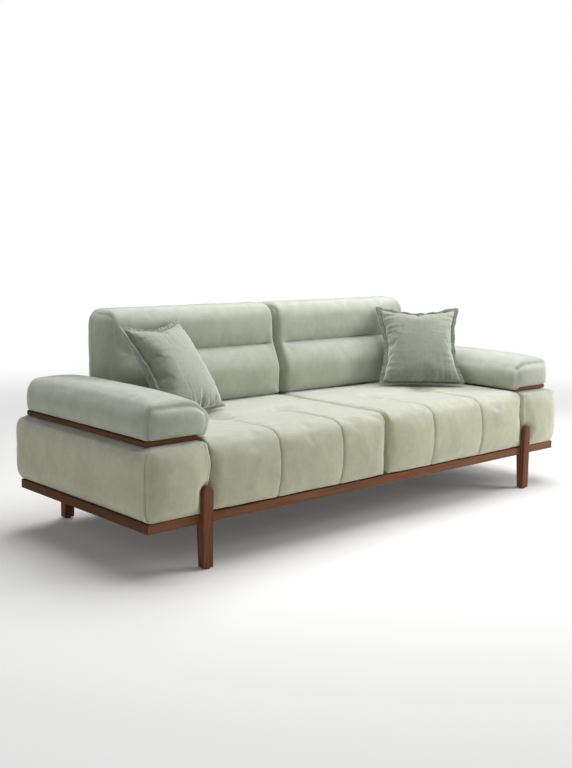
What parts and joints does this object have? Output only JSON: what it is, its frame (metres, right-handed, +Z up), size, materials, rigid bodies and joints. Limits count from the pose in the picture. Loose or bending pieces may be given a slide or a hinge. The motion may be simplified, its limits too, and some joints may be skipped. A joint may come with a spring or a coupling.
{
  "type": "sofa",
  "caption": "Upholstered sofa on a mitred wooden plinth, with round-headed legs lapping its front and back, wood-trimmed arms with padded tops, and loose scatter cushions.",
  "frame": {"origin": "on the floor, at the centre of the sofa's footprint", "axes": "+Z up, +X along the sofa's length to the right of someone who faces it, -Y towards the front"},
  "size_m": [2.2358, 0.858, 0.8071],
  "materials": {
    "walnut": "satin lacquered",
    "pine": "planed",
    "seat_fabric": "brushed nubuck-like pile",
    "back_fabric": "brushed nubuck-like pile",
    "cushion_fabric": "velvet",
    "foam": "open-cell foam",
    "steel": "zinc plated",
    "nylon": "moulded",
    "cambric": "non-woven"
  },
  "bodies": {
    "sofa": {"plinth_front_rail": "walnut", "plinth_back_rail": "walnut", "plinth_left_rail": "walnut", "plinth_right_rail": "walnut", "cross_bearer_left": "pine", "cross_bearer_right": "pine", "dust_cover": "cambric", "leg_front_left": "walnut", "leg_bolt_front_left": "steel", "glide_front_left": "nylon", "leg_front_right": "walnut", "leg_bolt_front_right": "steel", "glide_front_right": "nylon", "leg_rear_left": "walnut", "leg_bolt_rear_left": "steel", "glide_rear_left": "nylon", "leg_rear_right": "walnut", "leg_bolt_rear_right": "steel", "glide_rear_right": "nylon", "seat_left_frame": "pine", "seat_left_foam": "foam", "seat_left_cover": "seat_fabric", "seat_left_spring_1": "steel", "seat_left_spring_2": "steel", "seat_left_spring_3": "steel", "seat_left_spring_4": "steel", "arm_left_carcass": "pine", "arm_left_padding": "foam", "arm_left_cover": "seat_fabric", "arm_left_side_moulding": "walnut", "arm_left_front_moulding": "walnut", "arm_left_pad_board": "pine", "arm_left_pad_foam": "foam", "arm_left_pad_cover": "back_fabric", "back_left_frame": "pine", "back_left_foam": "foam", "back_left_cover": "back_fabric", "seat_right_frame": "pine", "seat_right_foam": "foam", "seat_right_cover": "seat_fabric", "seat_right_spring_1": "steel", "seat_right_spring_2": "steel", "seat_right_spring_3": "steel", "seat_right_spring_4": "steel", "arm_right_carcass": "pine", "arm_right_padding": "foam", "arm_right_cover": "seat_fabric", "arm_right_side_moulding": "walnut", "arm_right_front_moulding": "walnut", "arm_right_pad_board": "pine", "arm_right_pad_foam": "foam", "arm_right_pad_cover": "back_fabric", "back_right_frame": "pine", "back_right_foam": "foam", "back_right_cover": "back_fabric"},
    "cushion_left": {"cushion_left_cover": "cushion_fabric", "cushion_left_insert": "foam"},
    "cushion_right": {"cushion_right_cover": "cushion_fabric", "cushion_right_insert": "foam"}
  },
  "joints": [
    {"name": "cushion_left_lift", "type": "slide", "parent": "sofa", "child": "cushion_left", "axis": [0, -0.5, 0.866], "range_m": [0, 0.5]},
    {"name": "cushion_right_lift", "type": "slide", "parent": "sofa", "child": "cushion_right", "axis": [0, -0.5, 0.866], "range_m": [0, 0.5]}
  ]
}
